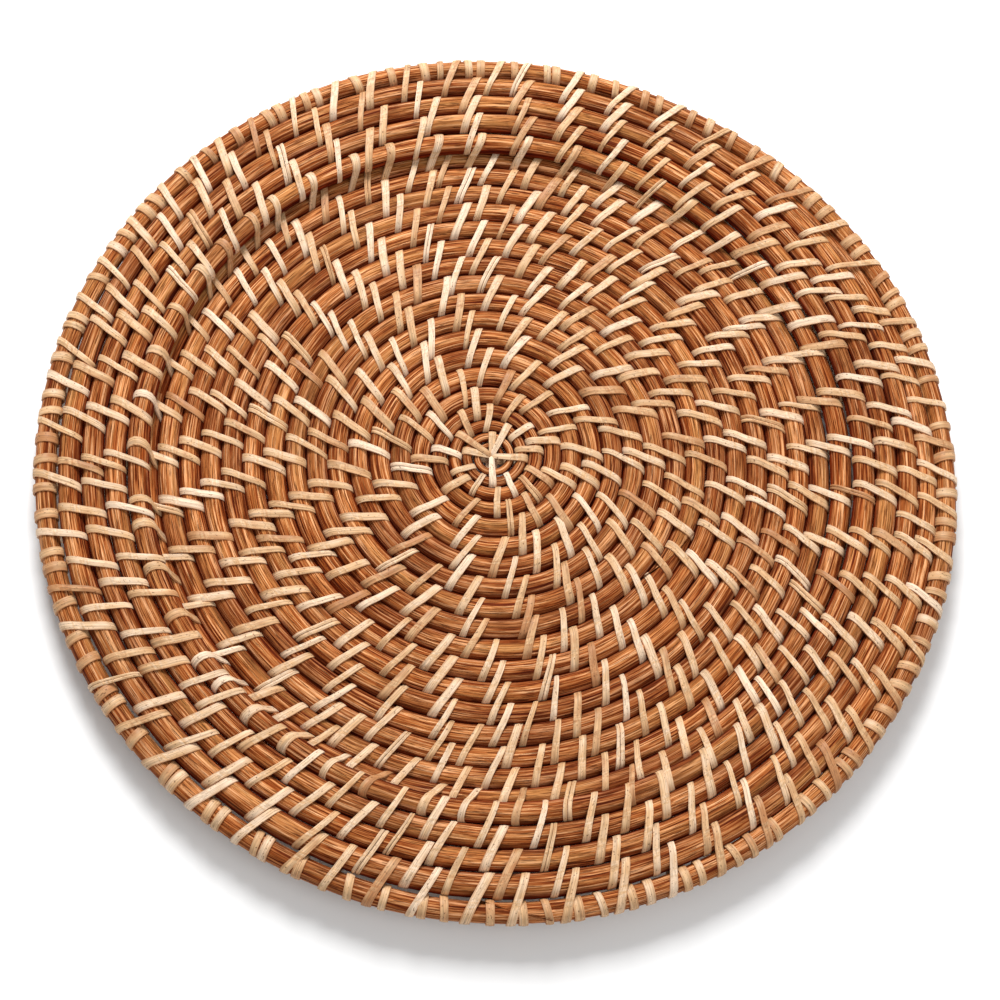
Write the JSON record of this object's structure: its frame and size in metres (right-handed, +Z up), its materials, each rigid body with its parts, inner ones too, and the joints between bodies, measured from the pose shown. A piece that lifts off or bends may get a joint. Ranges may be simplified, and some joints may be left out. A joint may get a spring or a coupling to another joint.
{
  "type": "charger plate",
  "caption": "Round coiled cane charger plate with a flat base, a raised rim and a thicker wrapped hoop at the edge, sewn with flat strips. It goes under a dinner plate.",
  "frame": {"origin": "centre of the rim hoop's outline, on the surface that the plate stands on", "axes": "+Z up, from the table to the rim; the coil's half turns meet in the plane of X and Z"},
  "size_m": [0.329, 0.3277, 0.0154],
  "materials": {
    "cane": "stained and lightly varnished cane",
    "hoop": "stained and lightly varnished cane",
    "strip": "flat rattan peel, satin"
  },
  "bodies": {
    "root": {"cane_centre": "cane", "cane_inner": "cane", "cane_base": "cane", "cane_rim": "cane", "cane_tail": "cane", "rim_hoop": "hoop", "rim_wraps": "strip", "centre_stitches": "strip", "stitch_row_01": "strip", "stitch_row_02": "strip", "stitch_row_03": "strip", "stitch_row_04": "strip", "stitch_row_05": "strip", "stitch_row_06": "strip", "stitch_row_07": "strip", "stitch_row_08": "strip", "stitch_row_09": "strip", "stitch_row_10": "strip", "stitch_row_11": "strip", "stitch_row_12": "strip", "stitch_row_13": "strip", "stitch_row_14": "strip", "stitch_row_15": "strip", "stitch_row_16": "strip", "stitch_row_17": "strip", "stitch_row_18": "strip", "stitch_row_19": "strip", "stitch_row_20": "strip", "stitch_row_21": "strip"}
  },
  "joints": []
}
